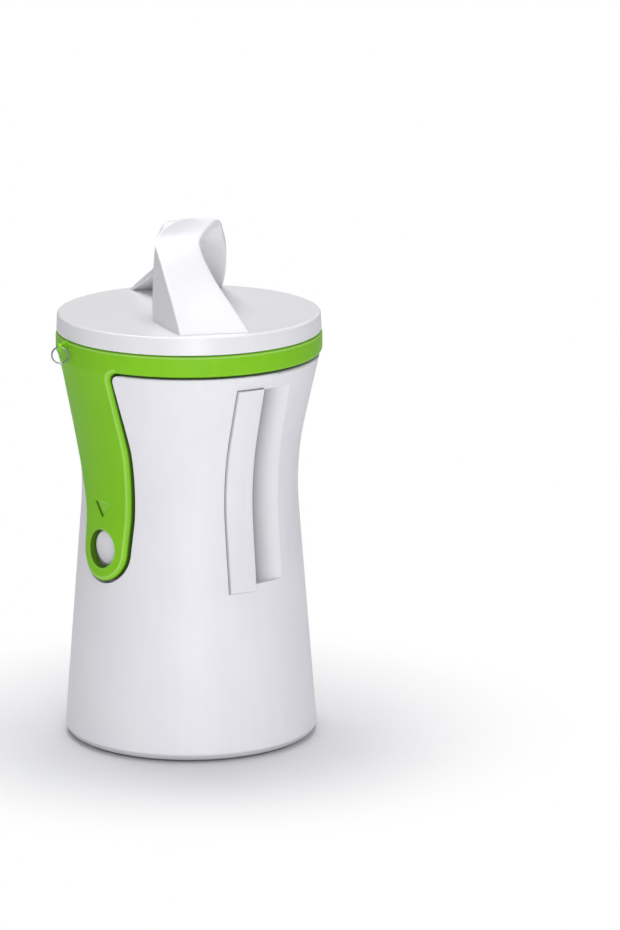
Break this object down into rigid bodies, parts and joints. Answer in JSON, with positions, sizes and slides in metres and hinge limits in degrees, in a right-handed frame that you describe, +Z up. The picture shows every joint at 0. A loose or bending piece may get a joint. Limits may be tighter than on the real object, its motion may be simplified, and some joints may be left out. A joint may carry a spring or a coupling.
{
  "type": "hand spiral vegetable cutter",
  "caption": "Hand-held waisted vegetable spiral cutter with a grip frame, an exit window beside a guard strip, and a turning pusher cap with a twisted loop handle.",
  "frame": {"origin": "centre of the foot pad's underside, on the body's axis", "axes": "+Z up the body's axis, exit window facing -Y, grip frame arms at -X and +X"},
  "size_m": [0.1053, 0.0998, 0.1977],
  "materials": {
    "white_body": "satin moulded",
    "white_button": "satin moulded",
    "white_cap": "satin moulded",
    "glide_white": "fine matt",
    "cone_white": "fine matt",
    "green_frame": "satin moulded",
    "foot_rubber": "soft matt",
    "steel": "ground",
    "wire_chrome": "bright wire"
  },
  "bodies": {
    "base": {"body_shell": "white_body", "foot_pad": "foot_rubber", "exit_guard": "white_body", "cutting_cone": "cone_white", "slicing_blade": "steel", "blade_carrier": "cone_white", "noodle_comb": "steel", "blade_screws": "steel", "comb_screws": "steel", "grip_frame": "green_frame", "latch_cup_left": "cone_white", "latch_cup_right": "cone_white", "latch_spring_left": "steel", "latch_spring_right": "steel"},
    "wire_ring": {"hang_ring": "wire_chrome"},
    "left_button": {"release_button_left": "white_button"},
    "right_button": {"release_button_right": "white_button"},
    "glide": {"glide_ring": "glide_white"},
    "cap": {"pusher_cap": "white_cap", "twist_handle": "white_cap", "handle_screws": "steel", "food_holder": "cone_white", "holder_screws": "steel", "holder_spikes": "steel", "centre_pin": "steel"}
  },
  "joints": [
    {"name": "cap_lift", "type": "slide", "parent": "base", "child": "glide", "axis": [0, 0, 1], "range_m": [0, 0.06]},
    {"name": "cap_spin", "type": "hinge", "parent": "glide", "child": "cap", "pos_m": [0, 0, 0.1559], "axis": [0, 0, 1], "continuous": true},
    {"name": "left_button_press", "type": "slide", "parent": "base", "child": "left_button", "axis": [1, 0, 0], "range_m": [0, 0.0016], "stiffness_N_per_m": 400, "springref_m": -0.001, "deforming": ["latch_spring_left"]},
    {"name": "right_button_press", "type": "slide", "parent": "base", "child": "right_button", "axis": [-1, 0, 0], "range_m": [0, 0.0016], "stiffness_N_per_m": 400, "springref_m": -0.001, "deforming": ["latch_spring_right"]},
    {"name": "ring_swing", "type": "hinge", "parent": "base", "child": "wire_ring", "pos_m": [-0.05246, 0.01173, 0.1542], "axis": [0.766, -0.6428, 0], "range_deg": [-110, 10]}
  ]
}
